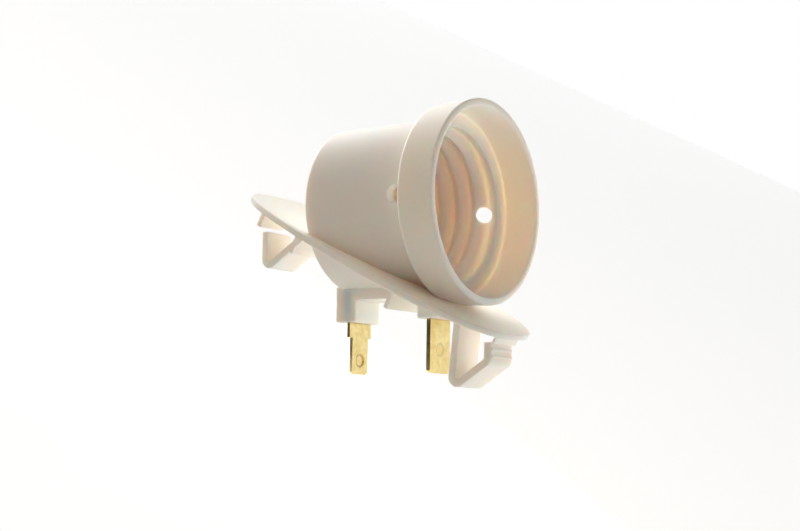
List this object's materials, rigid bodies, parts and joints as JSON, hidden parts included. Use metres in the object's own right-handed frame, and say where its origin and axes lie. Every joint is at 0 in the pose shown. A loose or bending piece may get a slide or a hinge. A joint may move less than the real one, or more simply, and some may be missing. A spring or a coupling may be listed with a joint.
{
  "type": "refrigerator lamp socket",
  "caption": "Moulded screw lamp socket set at an angle on an oval clip-in flange, with a wide collar, spring clips and brass push-on tabs.",
  "frame": {"origin": "centre of the flange's seat, in the plane that rests on the liner panel", "axes": "+X along the flange's long axis towards the socket's mouth, +Z along the flange's normal on the lamp's side, +Y across the flange"},
  "size_m": [0.0598, 0.036, 0.0547],
  "materials": {
    "ivory_plastic": "ivory moulded plastic, slightly translucent, low gloss",
    "brass": "stamped bright brass"
  },
  "bodies": {
    "root": {"socket_body": "ivory_plastic", "centre_contact": "brass", "side_contact": "brass"}
  },
  "joints": []
}
